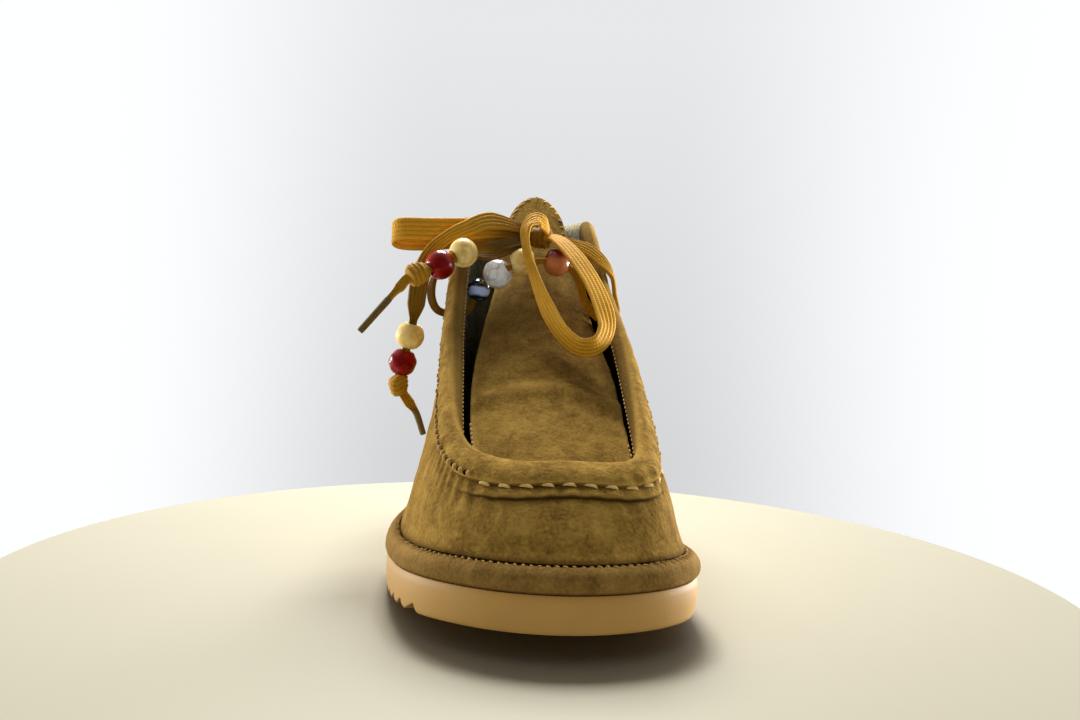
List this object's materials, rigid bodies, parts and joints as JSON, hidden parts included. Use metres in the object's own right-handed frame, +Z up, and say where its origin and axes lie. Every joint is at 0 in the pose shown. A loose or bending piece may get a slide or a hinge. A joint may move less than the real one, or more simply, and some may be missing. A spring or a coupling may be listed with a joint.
{
  "type": "lace-up shoe",
  "caption": "Right suede moccasin ankle shoe on a thick foam sole, with a raised toe seam, folded cuff, tongue and a flat beaded lace tied in a bow.",
  "frame": {"origin": "on the floor under the middle of the shoe's box, measured without the free lace", "axes": "+Z up, +Y from toe to heel, +X towards the inner side of the foot"},
  "size_m": [0.123, 0.2662, 0.1634],
  "materials": {
    "suede": "napped suede, matt",
    "foam": "light EVA foam, satin",
    "fleece": "short curly fleece, matt",
    "lace": "flat ribbed cotton weave",
    "cream_resin": "worn cream resin, satin",
    "red_resin": "glossy deep red resin",
    "clear_glass": "crackled clear glass",
    "blue_glass": "glossy dark blue glass",
    "amber_glass": "glossy amber glass"
  },
  "bodies": {
    "root": {"outsole": "foam", "rand": "suede", "insole": "fleece", "upper": "suede", "cuff": "suede", "tongue": "suede", "lace_crossing": "lace", "bead_blue": "blue_glass", "bead_clear": "clear_glass", "bead_cream": "cream_resin", "bead_amber": "amber_glass", "lace_knot": "lace", "lace_loop_outer": "lace", "lace_loop_inner": "lace", "lace_end_hanging": "lace", "lace_end_upper": "lace", "bead_hanging_cream": "cream_resin", "bead_hanging_red": "red_resin", "bead_upper_cream": "cream_resin", "bead_upper_red": "red_resin", "stopper_hanging": "lace", "stopper_upper": "lace", "lace_tip_hanging": "lace", "lace_tip_upper": "lace"}
  },
  "joints": []
}
